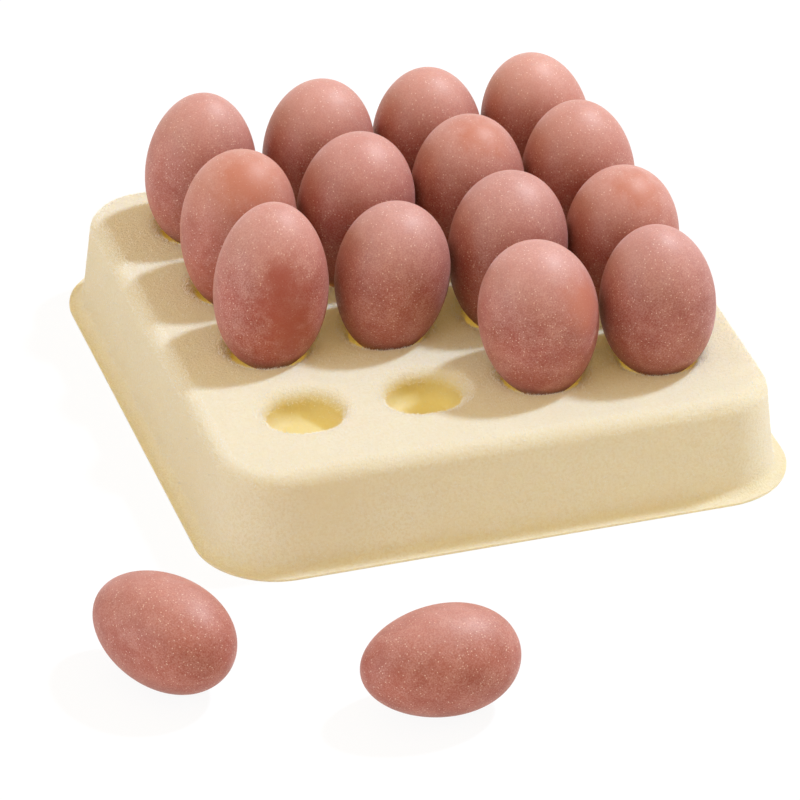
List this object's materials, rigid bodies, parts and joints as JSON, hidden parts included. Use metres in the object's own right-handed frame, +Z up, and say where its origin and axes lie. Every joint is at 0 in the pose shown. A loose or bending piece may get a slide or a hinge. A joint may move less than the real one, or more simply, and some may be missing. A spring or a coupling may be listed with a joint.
{
  "type": "egg tray with eggs",
  "caption": "Open formed tray with a velvety coat, round-lipped pockets and a flared foot, holding brown hen's eggs upright, with loose eggs lying in front.",
  "frame": {"origin": "middle of the whole set's footprint, on the surface that it stands on", "axes": "+Z up, +X along the tray's front side to the right, +Y from the lying eggs to the back of the tray"},
  "size_m": [0.2884, 0.3442, 0.0981],
  "materials": {
    "coated_sheet": "velvety flock on a thin formed sheet, pale cream",
    "eggshell": "satin brown eggshell with a pale speckled bloom"
  },
  "bodies": {
    "root": {"egg_tray": "coated_sheet", "egg_column_3_row_1": "eggshell", "egg_column_4_row_1": "eggshell", "egg_column_1_row_2": "eggshell", "egg_column_2_row_2": "eggshell", "egg_column_3_row_2": "eggshell", "egg_column_4_row_2": "eggshell", "egg_column_1_row_3": "eggshell", "egg_column_2_row_3": "eggshell", "egg_column_3_row_3": "eggshell", "egg_column_4_row_3": "eggshell", "egg_column_1_row_4": "eggshell", "egg_column_2_row_4": "eggshell", "egg_column_3_row_4": "eggshell", "egg_column_4_row_4": "eggshell", "egg_lying_left": "eggshell", "egg_lying_middle": "eggshell"}
  },
  "joints": []
}
